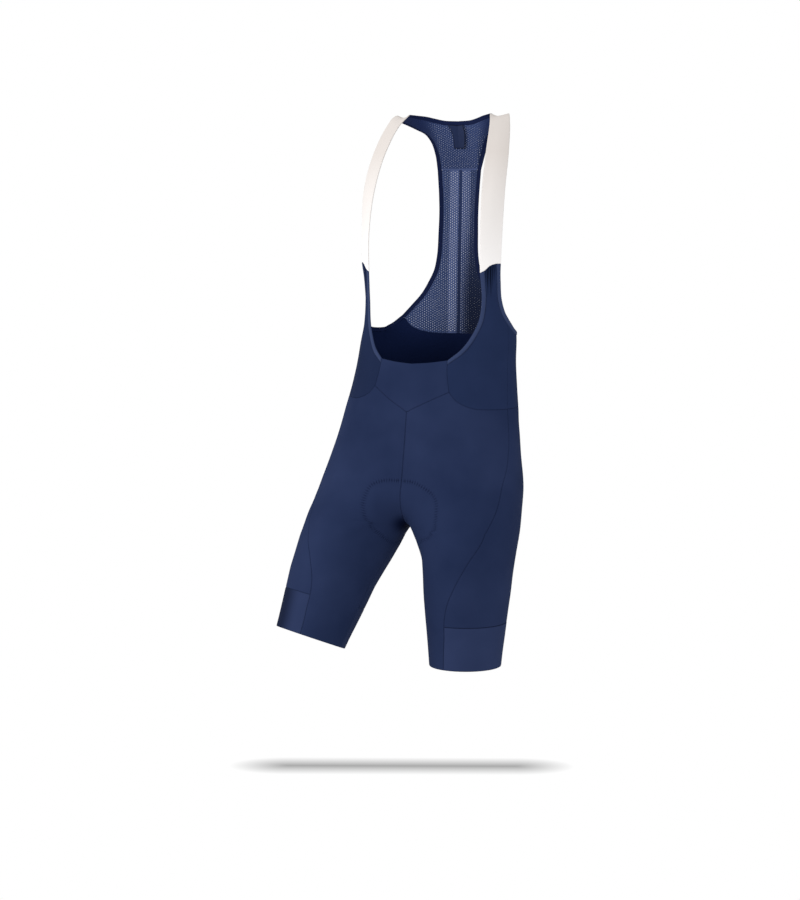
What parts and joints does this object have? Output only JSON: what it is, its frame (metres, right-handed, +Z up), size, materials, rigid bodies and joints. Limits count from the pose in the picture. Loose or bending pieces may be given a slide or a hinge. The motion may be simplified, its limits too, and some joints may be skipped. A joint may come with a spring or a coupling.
{
  "type": "cycling bib shorts",
  "caption": "Close-fitting cycling bib shorts with elastic shoulder straps, a mesh back, a seat pad and gripper cuffs, kept in the hollow form of a wearer who steps forward.",
  "frame": {"origin": "midway between the crests of the two shoulder straps, where the wearer's shoulders carry the garment", "axes": "+Z up towards the wearer's head, the front faces -Y, +X is the wearer's left"},
  "size_m": [0.3669, 0.281, 0.8679],
  "materials": {
    "lycra_navy": "matte stretch knit with a faint sheen",
    "mesh_navy": "matte open-look warp knit",
    "binding_navy": "matte folded elastic",
    "strap_white": "matte woven elastic",
    "gripper_navy": "matte dense knit",
    "pad_foam": "matte brushed foam",
    "label_navy": "matte plain tape"
  },
  "bodies": {
    "root": {"front_yoke": "lycra_navy", "side_panel_left": "lycra_navy", "side_panel_right": "lycra_navy", "neckline_binding_left": "binding_navy", "neckline_binding_right": "binding_navy", "lower_back": "lycra_navy", "back_mesh_lower": "mesh_navy", "back_mesh_upper": "mesh_navy", "back_neck_binding": "binding_navy", "neck_label": "label_navy", "armhole_binding_left": "binding_navy", "armhole_binding_right": "binding_navy", "strap_left": "strap_white", "strap_right": "strap_white", "leg_front_left": "lycra_navy", "leg_front_right": "lycra_navy", "leg_back_left": "lycra_navy", "leg_back_right": "lycra_navy", "cuff_left": "gripper_navy", "cuff_right": "gripper_navy", "chamois_pad": "pad_foam"}
  },
  "joints": []
}
